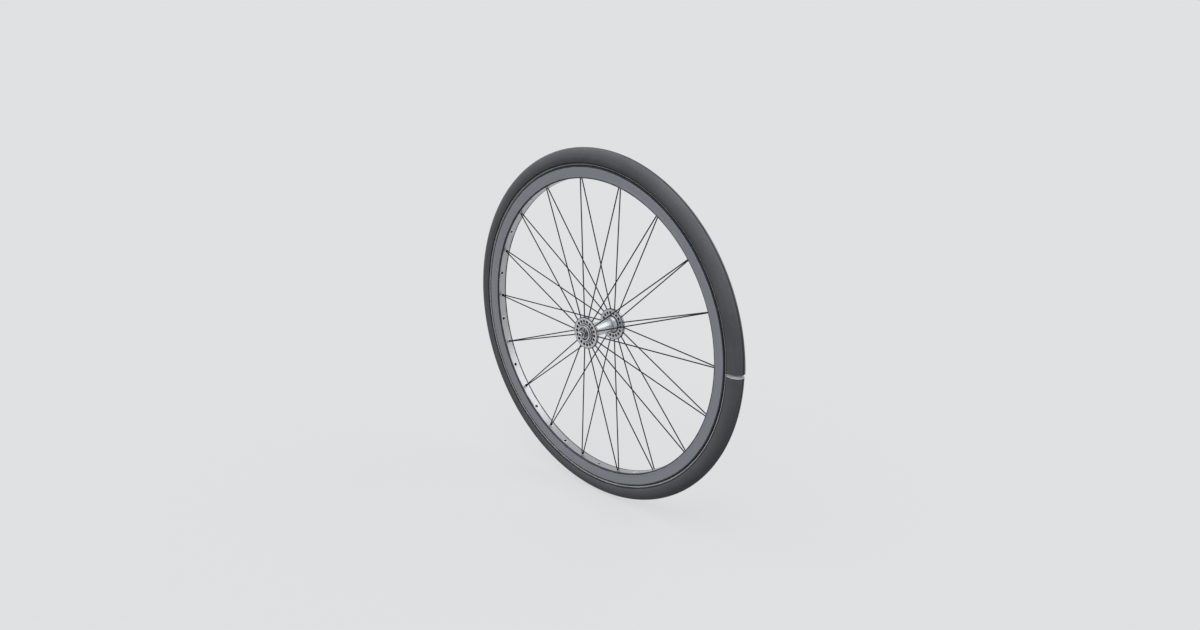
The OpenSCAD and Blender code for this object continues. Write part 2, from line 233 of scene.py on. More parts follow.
def step(label):
    """Makes an operator from a function that makes pieces, in the order of this file."""
    def wrap(work):
        def execute(self, context):
            work()
            return {"FINISHED"}

        name = work.__name__.removeprefix("make_")
        OPERATORS.append(type(f"WHEEL_OT_{name}", (Operator,), {
            "__doc__": work.__doc__, "bl_idname": f"wheel.{name}", "bl_label": label,
            "execute": execute}))
        return work
    return wrap


# Node helpers

class Bench:
    """Adds nodes to one tree. An input is a value, or a socket to link from."""

    def __init__(self, tree):
        self.tree = tree
        tree.nodes.clear()

    def add(self, kind, inputs=None, **options):
        node = self.tree.nodes.new(kind)
        for key, value in options.items():
            setattr(node, key, value)
        for key, value in (inputs or {}).items():
            self.put(value, node.inputs[key])
        return node

    def put(self, value, socket):
        if isinstance(value, bpy.types.NodeSocket):
            self.tree.links.new(value, socket)
        elif value is not None:
            socket.default_value = value

    def math(self, operation, *values, clamp=False):
        node = self.add("ShaderNodeMath", operation=operation, use_clamp=clamp)
        for value, socket in zip(values, node.inputs):
            self.put(value, socket)
        return node.outputs[0]

    def place(self):
        """Object coordinates."""
        return self.add("ShaderNodeTexCoord").outputs["Object"]

    def combine(self, x=None, y=None, z=None):
        return self.add("ShaderNodeCombineXYZ", {0: x, 1: y, 2: z}).outputs[0]

    def parts(self, vector):
        return self.add("ShaderNodeSeparateXYZ", {0: vector}).outputs

    def times(self, first, second, **options):
        return self.math("MULTIPLY", first, second, **options)

    def line(self, value, slope, start, **options):
        """Slope times the value, plus start."""
        return self.math("MULTIPLY_ADD", value, slope, start, **options)

    def vector(self, operation, *values):
        node = self.add("ShaderNodeVectorMath", operation=operation)
        for value, socket in zip(values, node.inputs):
            self.put(value, socket)
        return node.outputs["Value" if operation == "LENGTH" else "Vector"]

    def ramp(self, value, low, high):
        """0 at or below low, 1 at or above high, smooth between."""
        node = self.add(
            "ShaderNodeMapRange", {"Value": value, "From Min": low, "From Max": high},
            interpolation_type="SMOOTHSTEP")
        return node.outputs["Result"]

    def blend(self, share, first, second):
        """Mix of two colours."""
        node = self.add("ShaderNodeMix", data_type="RGBA")
        for index, value in ((0, share), (6, first), (7, second)):
            self.put(value, node.inputs[index])
        return node.outputs[2]

    def noise(self, where, scale, detail=2.0, rough=0.5, w=None):
        node = self.add(
            "ShaderNodeTexNoise",
            {"Vector": where, "Scale": scale, "Detail": detail, "Roughness": rough},
            noise_dimensions="3D" if w is None else "4D")
        if w is not None:
            self.put(w, node.inputs["W"])
        return node.outputs["Fac"]


def rgba(three, factor=1.0):
    """A colour made lighter or darker, with its alpha."""
    return (*(min(1.0, part * factor) for part in three), 1.0)


def tree_of(name, kind, inputs, outputs):
    """A new node group with its named sockets, its bench, and its input and output nodes."""
    tree = bpy.data.node_groups.new(name, kind)
    for label, socket, default in inputs:
        made = tree.interface.new_socket(label, in_out="INPUT", socket_type=socket)
        if default is not None:
            made.default_value = default
    for label, socket in outputs:
        tree.interface.new_socket(label, in_out="OUTPUT", socket_type=socket)
    bench = Bench(tree)
    return tree, bench, bench.add("NodeGroupInput"), bench.add("NodeGroupOutput")


VALUE, GEOMETRY = "NodeSocketFloat", "NodeSocketGeometry"


# Shader groups that the finishes share

def shader_group(name, inputs, outputs, build):
    tree = bpy.data.node_groups.get(name)
    if tree is None:
        tree, bench, given, result = tree_of(
            name, "ShaderNodeTree", [(label, VALUE, default) for label, default in inputs],
            [(label, VALUE) for label in outputs])
        for label, socket in build(bench, given.outputs).items():
            bench.put(socket, result.inputs[label])
    return tree


def ring_place(bench):
    """Object coordinates, their parts, the radius and the sideways distance from the wheel's middle."""
    where = bench.place()
    parts = bench.parts(where)
    flat = bench.combine(parts[0], z=parts[2])
    return where, parts, bench.vector("LENGTH", flat), bench.math("ABSOLUTE", parts[1])


def build_turned(bench, given):
    _, parts, radius, _ = ring_place(bench)
    section = bench.combine(
        bench.times(radius, given["Fineness"]), bench.times(parts[1], given["Fineness"]),
        bench.times(bench.math("DIVIDE", parts[0], radius), given["Run"]))
    turn = bench.times(bench.math("DIVIDE", parts[2], radius), given["Run"])
    lines = bench.noise(section, 1.0, 3.0, 0.6, w=turn)
    return {"Mask": bench.ramp(lines, 0.3, 0.7), "Height": lines}


# Patchy band round a circle of the section, used to paint shade along corners and edges, and one
# highlight line.
def build_corner(bench, given):
    where, _, radius, aside = ring_place(bench)
    section = bench.combine(
        bench.math("SUBTRACT", radius, given["Radius"]), bench.math("SUBTRACT", aside, given["Side"]))
    away = bench.vector("LENGTH", section)
    patchy = bench.noise(where, given["Patches"], 3.0)
    spread = bench.times(given["Reach"], bench.math("ADD", 0.55, patchy))
    near = bench.math("SUBTRACT", 1.0, bench.math("DIVIDE", away, spread), clamp=True)
    return {"Mask": bench.ramp(near, 0.0, 0.4)}


def build_dust(bench, given):
    coords = bench.add("ShaderNodeTexCoord").outputs
    clouds = bench.noise(coords["Object"], given["Scale"], 5.0, 0.6)
    specks = bench.noise(coords["Object"], bench.times(given["Scale"], 17.0), 2.0)
    up = bench.parts(coords["Normal"])[2]
    lie = bench.math("ADD", 0.6, bench.times(up, 0.4))
    cover = bench.times(bench.ramp(clouds, 0.35, 0.75), lie)
    grains = bench.times(cover, bench.math("ADD", 0.5, bench.ramp(specks, 0.4, 0.7)))
    return {"Mask": bench.times(grains, given["Amount"], clamp=True)}


def build_scuffs(bench, given):
    where = bench.place()
    long = bench.vector("MULTIPLY", where, (1.0, 9.0, 1.0))
    first = bench.noise(long, given["Scale"], 2.0, 0.7)
    turned = bench.add("ShaderNodeVectorRotate", {"Vector": where, "Angle": 0.9}, rotation_type="Y_AXIS")
    cross = bench.vector("MULTIPLY", turned.outputs[0], (14.0, 3.0, 1.0))
    second = bench.noise(cross, given["Scale"], 1.0, 0.6)
    lines = bench.math("MAXIMUM", bench.ramp(first, 0.66, 0.70), bench.ramp(second, 0.70, 0.73))
    where_worn = bench.ramp(bench.noise(where, 9.0, 2.0), 0.45, 0.6)
    mask = bench.times(bench.times(lines, where_worn), given["Amount"])
    return {"Mask": mask, "Height": bench.times(mask, -1.0)}


def build_grain(bench, given):
    where = bench.place()
    coarse = bench.noise(where, given["Scale"], 4.0, 0.6)
    fine = bench.noise(where, bench.times(given["Scale"], 6.0), 2.0, 0.5)
    return {"Mask": coarse, "Height": bench.math("ADD", coarse, bench.times(fine, 0.5))}


GROUPS = {
    "turned_lines": ([("Fineness", 4000.0), ("Run", 3.0)], ["Mask", "Height"], build_turned),
    "corner_grime": (
        [("Radius", 0.3), ("Side", 0.01), ("Reach", 0.002), ("Patches", 60.0)], ["Mask"], build_corner),
    "road_dust": ([("Scale", 25.0), ("Amount", 0.3)], ["Mask"], build_dust),
    "scuffs": ([("Scale", 90.0), ("Amount", 0.5)], ["Mask", "Height"], build_scuffs),
    "surface_grain": ([("Scale", 400.0)], ["Mask", "Height"], build_grain),
}


def placed(bench, name, **values):
    """One of the shared groups in a material, with its own values."""
    inputs, outputs, build = GROUPS[name]
    node = bench.add("ShaderNodeGroup", node_tree=shader_group(name, inputs, outputs, build))
    for label, value in values.items():
        bench.put(value, node.inputs[label])
    return node.outputs


# Finishes

GRIME_SHARE = 0.92
LINE_DEPTH = 0.02 * MM
SCUFFED_RUBBER = (0.16, 0.16, 0.16)
RUBBER_SHINE = 0.12


def new_finish(name):
    made = bpy.data.materials.new(name)
    made.use_nodes = True
    bench = Bench(made.node_tree)
    shader = bench.add("ShaderNodeBsdfPrincipled")
    bench.add("ShaderNodeOutputMaterial", {"Surface": shader.outputs[0]})
    return made, bench, shader.inputs


def coat(bench, inputs, base, rough, height, depth):
    """Links the colour, the roughness and the relief of a finish."""
    bump = bench.add("ShaderNodeBump", {"Height": height, "Strength": 1.0, "Distance": depth})
    for label, value in (("Base Color", base), ("Roughness", rough), ("Normal", bump.outputs[0])):
        bench.put(value, inputs[label])


def ring_mask(bench, ring):
    """Patchy band of dirt or wear round a circle: its radius, side, reach and patchiness."""
    values = dict(zip(("Radius", "Side", "Reach", "Patches"), ring))
    return placed(bench, "corner_grime", **values)["Mask"]


def metal(name, tint, rough, fineness=3500.0, run=3.0, contrast=0.25, dust=0.1, scuffed=0.5,
          corners=(), bare=1.0):
    """A metal with lines from its making, fine grain, scuffs, dust, and grime in its corners."""
    paint = settings().colours
    grain_scale, grain_share, grain_relief = 700.0, 0.8, 0.25
    scuff_share, scuff_shade, light_line = 0.6, 1.5, 0.4
    grain_rough, scuff_rough, dirt_rough = 0.16, -0.08, 0.35
    made, bench, inputs = new_finish(name)
    lines = placed(bench, "turned_lines", Fineness=fineness, Run=run)
    grain = placed(bench, "surface_grain", Scale=grain_scale)
    marks = placed(bench, "scuffs", Amount=scuffed)
    dusty = placed(bench, "road_dust", Amount=dust)["Mask"]
    dark = rgba(tint, 1 - contrast)
    base = bench.blend(lines["Mask"], dark, rgba(tint, 1 + contrast * light_line))
    base = bench.blend(bench.times(grain["Mask"], contrast * grain_share), base, dark)
    base = bench.blend(bench.times(marks["Mask"], scuff_share), base, rgba(tint, scuff_shade))
    base = bench.blend(dusty, base, rgba(paint.dust))
    cover = dusty
    # Each corner ring paints a near-black band: painted shade.
    for ring in corners:
        dirt = bench.times(ring_mask(bench, ring), GRIME_SHARE)
        base = bench.blend(dirt, base, rgba(paint.grime))
        cover = bench.math("MAXIMUM", cover, dirt)
    # Where the dust or the painted shade lies, the metal loses its shine and is rougher.
    bench.put(bench.line(cover, -bare, bare, clamp=True), inputs["Metallic"])
    lively = bench.line(grain["Mask"], grain_rough, rough - grain_rough / 2)
    lively = bench.line(marks["Mask"], scuff_rough, lively)
    height = bench.math("ADD", lines["Height"], bench.times(grain["Height"], grain_relief))
    height = bench.math("ADD", height, marks["Height"])
    coat(bench, inputs, base, bench.line(cover, dirt_rough, lively, clamp=True), height, LINE_DEPTH)
    return made


def rubber(name, tint, dirty, worn):
    """Rubber of the tyre: faint moulded rings on its walls, fine grain, crazing, scuffs and dust."""
    paint = settings().colours
    bend_scale, cell_scale, crack_width = 120.0, 330.0, 0.07
    grain_share, scuff_share, crack_share, dust_share = 0.4, 0.3, 0.7, 0.5
    dirt_share, wear_share, grain_relief = 0.85, 0.9, 0.3
    made, bench, inputs = new_finish(name)
    grain = placed(bench, "surface_grain", Scale=900.0)
    rings = placed(bench, "turned_lines", Fineness=900.0, Run=1.2)
    marks = placed(bench, "scuffs", Scale=40.0, Amount=0.5)
    dusty = placed(bench, "road_dust", Scale=14.0, Amount=0.30)["Mask"]
    where = bench.place()
    bent = bench.vector("ADD", where, bench.add(
        "ShaderNodeTexNoise", {"Vector": where, "Scale": bend_scale}).outputs["Color"])
    cells = bench.add(
        "ShaderNodeTexVoronoi", {"Vector": bent, "Scale": cell_scale}, feature="DISTANCE_TO_EDGE")
    crazed = bench.math("SUBTRACT", 1.0, bench.ramp(cells.outputs["Distance"], 0.0, crack_width))
    aged = bench.times(crazed, bench.ramp(bench.noise(where, 7.0, 2.0), 0.5, 0.62))
    base = bench.blend(rings["Mask"], rgba(tint, 0.92), rgba(tint, 1.12))
    for mask, share, shade in (
            (grain["Mask"], grain_share, tint), (marks["Mask"], scuff_share, SCUFFED_RUBBER),
            (aged, crack_share, paint.grime), (dusty, dust_share, paint.dust)):
        base = bench.blend(bench.times(mask, share), base, rgba(shade))
    # Painted shade along the lip's gap, above the moulded line and round the crown; a painted highlight
    # along the moulded line above the rim.
    for rings_of, share, shade in (
            (dirty, dirt_share, paint.grime), (worn, wear_share, paint.worn)):
        for ring in rings_of:
            base = bench.blend(bench.times(ring_mask(bench, ring), share), base, rgba(shade))
    inputs["Specular IOR Level"].default_value = RUBBER_SHINE
    height = bench.math("ADD", bench.times(grain["Height"], grain_relief), rings["Height"])
    height = bench.math("SUBTRACT", height, aged)
    coat(bench, inputs, base, bench.line(grain["Mask"], 0.25, 0.5), height, 0.05 * MM)
    return made


def cut_rubber(name, tint):
    """Torn and cut rubber, light with fine ridges from the blade."""
    made, bench, inputs = new_finish(name)
    grain = placed(bench, "surface_grain", Scale=1500.0)
    where = bench.place()
    drawn = bench.noise(bench.vector("MULTIPLY", where, (1.0, 12.0, 1.0)), 260.0, 2.0)
    base = bench.blend(drawn, rgba(tint, 0.7), rgba(tint, 1.15))
    height = bench.math("ADD", grain["Height"], drawn)
    coat(bench, inputs, base, bench.line(grain["Mask"], 0.2, 0.65), height, 0.12 * MM)
    return made


def cellular(name, tint):
    """Closed-cell foam: packed round cells with darker hollows."""
    made, bench, inputs = new_finish(name)
    where = bench.place()
    cells = bench.add("ShaderNodeTexVoronoi", {"Vector": where, "Scale": 900.0}).outputs["Distance"]
    hollow = bench.ramp(cells, 0.15, 0.6)
    clouds = bench.noise(where, 40.0, 3.0)
    base = bench.blend(hollow, rgba(tint, 0.7), rgba(tint))
    base = bench.blend(bench.times(clouds, 0.2), base, rgba(settings().colours.dust))
    coat(bench, inputs, base, bench.line(hollow, 0.1, 0.82), hollow, 0.3 * MM)
    return made


def woven(name, tint):
    """Plain weave that runs round the rim, from the piece's own UV map."""
    made, bench, inputs = new_finish(name)
    where = bench.add("ShaderNodeUVMap", uv_map="UVMap").outputs[0]
    parts = bench.parts(where)
    along = bench.math("SINE", bench.times(parts[0], FULL_TURN))
    across = bench.math("SINE", bench.times(parts[1], FULL_TURN))
    over_under = bench.times(along, across)
    threads = bench.noise(bench.vector("MULTIPLY", where, (6.0, 1.0, 1.0)), 2.0, 2.0)
    lit = bench.line(over_under, 0.5, 0.5)
    base = bench.blend(lit, rgba(tint, 0.5), rgba(tint, 1.6))
    base = bench.blend(bench.times(threads, 0.3), base, rgba(settings().colours.dust))
    inputs["Sheen Weight"].default_value = 0.3
    coat(bench, inputs, base, bench.line(threads, 0.1, 0.75), over_under, 0.15 * MM)
    return made


def dirty_rings():
    """Circles where dirt gathers or wear shows: radius, side, reach and patchiness."""
    tyre, rim, hub, oval = settings().tyre, settings().rim, settings().hub, Oval()
    flange_out = hub.flange_side + hub.flange_t / 2
    flange_in = hub.flange_side - hub.flange_t / 2
    rings = {
        # Painted shade along the hook, the gap at the lip and the bed's edges.
        "hook": (RIM_R - 0.7 * MM, RIM_HALF, 2.1, 70.0),
        "lip_gap": (RIM_R, tyre.throat, 2.6, 60.0),
        "bed_edge": (rim.bed, rim.bed_half - 0.9 * MM, 2.9, 70.0),
        # Painted highlight along the moulded line above the rim; painted shade above it and round the
        # crown.
        "rim_line": (*oval.wall_point(tyre.rim_line), 1.7, 30.0),
        "above_line": (*oval.wall_point(tyre.rim_line + DIRT_ABOVE_LINE), 2.0, 60.0),
        "seam": (TYRE_R, 0.0, 1.5, 50.0),
        # Painted shade in the corners of the hub's flanges, boss, end and flare, of the cap's opening,
        # of the nut and at the axle's foot.
        "flange_out": (FLANGE_R, flange_out, 1.7, 150.0),
        "flange_in": (FLANGE_R, flange_in, 1.7, 150.0),
        "boss": (hub.boss_r, flange_out, 1.8, 150.0),
        "shell_end": (hub.end_r, flange_out + hub.boss_h, 1.5, 150.0),
        "flare": (hub.flare_r, flange_in, 2.0, 120.0),
        "cap_bore": (hub.cap_bore, SHELL_END + 0.5 * MM, 2.0, 150.0),
        "nut_rim": (8.7 * MM, NUT_END - 0.6 * MM, 1.2, 150.0),
        "nut_bore": (AXLE_R, NUT_END, 1.0, 150.0),
        "axle_foot": (AXLE_R, NUT_END, 1.3, 150.0),
    }
    return {
        name: (r, side, millimetres * MM, patches)
        for name, (r, side, millimetres, patches) in rings.items()}


def finish_named(name):
    """A finish by name, made when it is first asked for."""
    found = bpy.data.materials.get(name)
    if found:
        return found
    paint, dirt = settings().colours, dirty_rings()

    def rings(*names):
        return [dirt[label] for label in names]

    recipes = {
        # The rim's alloy takes painted shade along the hook, the lip's gap and the bed's edges.
        "satin_rim_alloy": (metal, paint.rim, 0.46, dict(
            fineness=5200.0, run=2.0, contrast=0.14, dust=0.22, bare=0.75,
            corners=rings("hook", "lip_gap", "bed_edge"))),
        # The inner face's lighter copy of the rim alloy is painted light.
        "polished_rim_alloy": (metal, paint.bed, 0.36, dict(
            fineness=5200.0, run=2.0, contrast=0.12, dust=0.12, corners=rings("bed_edge"))),
        "rolled_eyelet_steel": (metal, rgba(paint.plate, 1.3)[:3], 0.3),
        "nickel_plated_brass": (metal, paint.plated_brass, 0.34),
        "drawn_spoke_steel": (metal, paint.spoke, 0.4, dict(
            fineness=250.0, run=500.0, contrast=0.2, dust=0.04, scuffed=0.1)),
        # The hub's alloy, and the cap, nut and axle steels below, take painted shade along their corner
        # rings.
        "turned_hub_alloy": (metal, paint.hub, 0.33, dict(
            fineness=4200.0, contrast=0.2, dust=0.2,
            corners=rings("flange_out", "flange_in", "boss", "shell_end", "flare"))),
        # Near-black walls of the hub's spoke holes: painted shade.
        "oily_bore_alloy": (metal, paint.grime, 0.5, dict(
            fineness=4200.0, contrast=0.2, dust=0.05, scuffed=0.2, bare=0.4)),
        "hardened_race_steel": (metal, paint.steel, 0.22),
        "plated_cap_steel": (metal, paint.plate, 0.28, dict(dust=0.2, corners=rings("cap_bore"))),
        "polished_ball_steel": (metal, paint.plate, 0.1, dict(contrast=0.05, dust=0.0, scuffed=0.1)),
        "pressed_cage_steel": (metal, paint.steel, 0.4),
        "plated_nut_steel": (metal, paint.plate, 0.3, dict(
            dust=0.2, corners=rings("nut_rim", "nut_bore"))),
        "turned_axle_steel": (metal, paint.plate, 0.26, dict(
            fineness=6000.0, dust=0.15, corners=rings("axle_foot"))),
        "drawn_bead_wire": (metal, paint.steel, 0.35),
        "weathered_rubber": (
            rubber, paint.rubber, rings("lip_gap", "above_line", "seam"), rings("rim_line")),
        "fresh_cut_rubber": (cut_rubber, paint.cut),
        "closed_cell_foam": (cellular, paint.foam),
        "woven_tape": (woven, paint.tape),
    }
    make, *values = recipes[name]
    options = values.pop() if isinstance(values[-1], dict) else {}
    return make(name, *values, **options)


# Shape helpers

def mesh_of(name, bm):
    """A new mesh with what a bmesh holds, which is freed."""
    mesh = bpy.data.meshes.new(name)
    bm.to_mesh(mesh)
    bm.free()
    return mesh


def linked(name, data):
    """A new object in the scene."""
    made = bpy.data.objects.new(name, data)
    bpy.context.scene.collection.objects.link(made)
    return made


def evaluated(piece):
    """The mesh that a piece's modifiers make. The modifiers are removed."""
    graph = bpy.context.evaluated_depsgraph_get()
    made = bpy.data.meshes.new_from_object(piece.evaluated_get(graph))
    piece.modifiers.clear()
    piece.data = made
    return made


def finished(piece):
    """Merges doubles, turns the faces outward and shades the piece smooth between its edges."""
    bm = bmesh.new()
    bm.from_mesh(piece.data)
    bmesh.ops.remove_doubles(bm, verts=bm.verts, dist=1e-6)
    bmesh.ops.recalc_face_normals(bm, faces=bm.faces)
    bm.to_mesh(piece.data)
    bm.free()
    piece.data.shade_smooth()
    piece.data.set_sharp_from_angle(angle=SHARP_ANGLE)
    return piece


def put_on(piece, body, nodes):
    """Hands a finished piece to the frame."""
    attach(piece, body)
    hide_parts(*nodes)


def grown(name, tree, seed, values):
    """The plain mesh that a geometry tree makes from a seed mesh."""
    piece = linked(name, seed)
    modifier = piece.modifiers.new(tree.name, "NODES")
    modifier.node_group = tree
    known = {s.name: s.identifier for s in tree.interface.items_tree if s.in_out == "INPUT"}
    for label, value in values.items():
        modifier[known[label]] = value
    evaluated(piece).name = name
    return piece


def cut_with(piece, cutter, operation="DIFFERENCE"):
    """Cuts a piece with another, which is used up."""
    modifier = piece.modifiers.new("cut", "BOOLEAN")
    modifier.object = cutter
    modifier.operation = operation
    modifier.solver = "MANIFOLD"
    made = evaluated(piece)
    bpy.data.objects.remove(cutter)
    for index in reversed(range(1, len(made.materials))):
        made.materials.pop(index=index)


def paint_faces(piece, finish, chosen):
    """Gives another finish to the faces whose middle and normal the test picks."""
    piece.data.materials.append(finish_named(finish))
    index = len(piece.data.materials) - 1
    for face in piece.data.polygons:
        if chosen(face.center, face.normal):
            face.material_index = index


def loop_mesh(name, points):
    """A closed loop of section points (radius, along) as edges."""
    mesh = bpy.data.meshes.new(name)
    count = len(points)
    mesh.from_pydata([(r, y, 0) for r, y in points], [(i, (i + 1) % count) for i in range(count)], [])
    return mesh


def axis_tree(name, inputs, build):
    """A tree that builds one plain, painted mesh from its seed mesh."""
    tree = bpy.data.node_groups.get(name)
    if tree is None:
        tree, bench, given, result = tree_of(
            name, "GeometryNodeTree",
            [("Geometry", GEOMETRY, None), *inputs, ("Finish", "NodeSocketMaterial", None)],
            [("Geometry", GEOMETRY)])
        plain = bench.add("GeometryNodeRealizeInstances", {"Geometry": build(bench, given.outputs)})
        painted = bench.add(
            "GeometryNodeSetMaterial",
            {"Geometry": plain.outputs[0], "Material": given.outputs["Finish"]})
        bench.put(painted.outputs[0], result.inputs[0])
    return tree


def build_sweep(bench, given):
    """Sweeps a section loop round the spin axis, in full or over an arc with closed ends."""
    section = bench.add("GeometryNodeMeshToCurve", {"Mesh": given["Geometry"]}).outputs[0]
    size = {"Resolution": given["Segments"], "Radius": given["Path Radius"]}
    ring = bench.add("GeometryNodeCurvePrimitiveCircle", size)
    arc = bench.add(
        "GeometryNodeCurveArc", {**size, "Start Angle": given["Start"], "Sweep Angle": given["Sweep"]})
    path = bench.add(
        "GeometryNodeSwitch",
        {"Switch": given["Open"], "False": ring.outputs["Curve"], "True": arc.outputs["Curve"]},
        input_type="GEOMETRY")
    upright = bench.add("GeometryNodeSetCurveNormal", {"Curve": path.outputs[0]})
    solid = bench.add(
        "GeometryNodeCurveToMesh",
        {"Curve": upright.outputs[0], "Profile Curve": section, "Fill Caps": given["Open"]})
    stood = bench.add(
        "GeometryNodeTransform", {"Geometry": solid.outputs[0], "Rotation": (math.pi / 2, 0, 0)})
    return stood.outputs[0]


PATH_RADIUS = 0.1


def swept(name, points, segments, finish, start=None, sweep=None):
    """A ring with the given section. Points are (radius, along)."""
    values = {"Segments": segments, "Path Radius": PATH_RADIUS, "Finish": finish_named(finish)}
    if sweep is not None:
        values.update({"Start": start, "Sweep": sweep, "Open": True})
    tree = axis_tree("sweep_round_axis", [
        ("Segments", "NodeSocketInt", 360), ("Path Radius", VALUE, PATH_RADIUS),
        ("Start", VALUE, 0.0), ("Sweep", VALUE, FULL_TURN), ("Open", "NodeSocketBool", False)],
        build_sweep)
    seed = loop_mesh(name, [(r - PATH_RADIUS, y) for r, y in points])
    return finished(grown(name, tree, seed, values))


def build_repeat(bench, given):
    """Repeats the seed mesh round the spin axis, turned to each place."""
    places = bench.add("GeometryNodeMeshLine", {"Count": given["Count"], "Offset": (0, 0, 0)})
    index = bench.add("GeometryNodeInputIndex").outputs[0]
    around = bench.math("DIVIDE", FULL_TURN, given["Count"])
    turn = bench.line(index, around, given["Start"])
    euler = bench.combine(y=bench.times(turn, -1.0))
    copies = bench.add(
        "GeometryNodeInstanceOnPoints",
        {"Points": places.outputs[0], "Instance": given["Geometry"], "Rotation": euler})
    return copies.outputs[0]


def repeated(name, seed, count, finish, start=0.0):
    values = {"Count": count, "Start": start, "Finish": finish_named(finish)}
    tree = axis_tree(
        "repeat_round_axis", [("Count", "NodeSocketInt", 18), ("Start", VALUE, 0.0)], build_repeat)
    return finished(grown(name, tree, seed, values))


def turned_bar(name, profile, at, direction, sides=20, closed=False):
    """A bar turned from a profile of (distance, radius), or a tube from a closed one.
    It is laid from a point along a direction."""
    lay = Matrix.Translation(at) @ Vector(direction).to_track_quat("Z", "Y").to_matrix().to_4x4()
    bm = bmesh.new()
    rings = []
    for distance, radius in profile:
        count = sides if radius > 0 else 1
        turns = [FULL_TURN * i / sides for i in range(count)]
        ring = [bm.verts.new(lay @ Vector((radius * math.cos(a), radius * math.sin(a), distance)))
                for a in turns]
        rings.append(ring * (sides // count))
    for lower, upper in zip(rings, rings[1:] + rings[:1] * closed):
        for i in range(sides):
            j = (i + 1) % sides
            corners = list(dict.fromkeys((lower[i], lower[j], upper[j], upper[i])))
            if len(corners) > 2:
                bm.faces.new(corners)
    bmesh.ops.recalc_face_normals(bm, faces=bm.faces)
    return mesh_of(name, bm)


def rod(name, radius, long, at, direction, sides):
    """A plain bar with flat ends."""
    return turned_bar(name, [(0, 0), (0, radius), (long, radius), (long, 0)], at, direction, sides)


def joined(name, meshes):
    """Several meshes as one."""
    bm = bmesh.new()
    for mesh in meshes:
        bm.from_mesh(mesh)
    return mesh_of(name, bm)


def merged(name, piece, other, finish):
    """Two pieces as one, with one finish."""
    piece.data = joined(name, [piece.data, other.data])
    piece.data.materials.append(finish_named(finish))
    piece.name = name
    bpy.data.objects.remove(other)
    return finished(piece)


def rounded(points, steps=3):
    """A closed loop whose points (radius, along, fillet) get their corners rounded."""
    out = []
    count = len(points)
    for i, (r, y, fillet) in enumerate(points):
        here = Vector((r, y))
        back = Vector(points[i - 1][:2]) - here
        ahead = Vector(points[(i + 1) % count][:2]) - here
        cut = min(fillet, 0.45 * back.length, 0.45 * ahead.length)
        if cut <= 0:
            out.append((r, y))
            continue
        first, last = here + back.normalized() * cut, here + ahead.normalized() * cut
        for k in range(steps + 1):
            t = k / steps
            point = first * (1 - t) ** 2 + here * 2 * t * (1 - t) + last * t ** 2
            out.append((point.x, point.y))
    return out


def both_halves(half):
    """A loop from the points of its +Y half, in order from the axis side."""
    return half + [(p[0], -p[1], *p[2:]) for p in reversed(half)]


def radius_of(place):
    return math.hypot(place.x, place.z)


def smooth(t):
    t = min(1.0, max(0.0, t))
    return t * t * (3 - 2 * t)


# Stage

def direction_of(turn, rise):
    return Vector((math.sin(turn) * math.cos(rise), -math.cos(turn) * math.cos(rise), math.sin(rise)))


def seen_rays(bench):
    """1 for rays that show a surface, 0 for rays that only light others."""
    ray = bench.add("ShaderNodeLightPath").outputs
    return bench.math("MAXIMUM", ray["Is Camera Ray"], bench.math(
        "MAXIMUM", ray["Is Glossy Ray"], ray["Is Transmission Ray"]))


def make_floor():
    half, squares, gap = 60.0, 4, 0.5 * MM
    bm = bmesh.new()
    bmesh.ops.create_grid(bm, x_segments=squares, y_segments=squares, size=half)
    bmesh.ops.translate(bm, verts=bm.verts, vec=(0, 0, CAD_BOX[0].z - gap))
    mesh = mesh_of("floor", bm)
    made, bench, inputs = new_finish("pale_floor")
    grain = placed(bench, "surface_grain", Scale=2.0)
    stage = settings().stage
    lit = tuple(c * (1 - stage.floor_glow) for c in stage.floor)
    seen = seen_rays(bench)
    shown = bench.blend(grain["Mask"], rgba(lit, 0.998), rgba(lit))
    bench.put(bench.blend(seen, rgba(stage.bounce), shown), inputs["Base Color"])
    inputs["Emission Color"].default_value = rgba(stage.back)
    bench.put(bench.times(seen, stage.floor_glow), inputs["Emission Strength"])
    inputs["Roughness"].default_value = 1.0
    inputs["Specular IOR Level"].default_value = 0.0
    mesh.materials.append(made)
    linked("floor", mesh)


def make_light():
    stage = settings().stage
    world = bpy.data.worlds.new("even_sky")
    world.use_nodes = True
    bench = Bench(world.node_tree)
    seen = seen_rays(bench)
    even = bench.add("ShaderNodeBackground", {"Color": (1, 1, 1, 1), "Strength": stage.sky})
    shown = bench.add("ShaderNodeBackground", {"Color": rgba(stage.back), "Strength": 1.0})
    mixed = bench.add("ShaderNodeMixShader", {0: seen, 1: even.outputs[0], 2: shown.outputs[0]})
    bench.add("ShaderNodeOutputWorld", {"Surface": mixed.outputs[0]})
    bpy.context.scene.world = world
    for name, energy, turn, rise, soft in (
            ("main_lamp", stage.key, stage.key_turn, stage.key_rise, stage.key_soft),
            ("back_lamp", stage.back_lamp, stage.back_turn, stage.back_rise, stage.back_soft)):
        data = bpy.data.lights.new(name, "SUN")
        data.energy = energy
        data.angle = soft
        toward = direction_of(turn, rise)
        lamp = linked(name, data)
        lamp.rotation_euler = toward.to_track_quat("Z", "Y").to_euler()
        lamp.location = toward * LAMP_DISTANCE


def make_camera():
    stage = settings().stage
    back = direction_of(stage.view_turn, stage.view_rise)
    data = bpy.data.cameras.new("view")
    data.sensor_width = SENSOR_WIDTH
    data.lens = stage.lens
    data.shift_x, data.shift_y = stage.shift_x, stage.shift_y
    data.clip_end = FARTHEST_SEEN
    camera = linked("view", data)
    camera.location = back * stage.distance
    camera.rotation_euler = (-back).to_track_quat("-Z", "Y").to_euler()
    bpy.context.scene.camera = camera


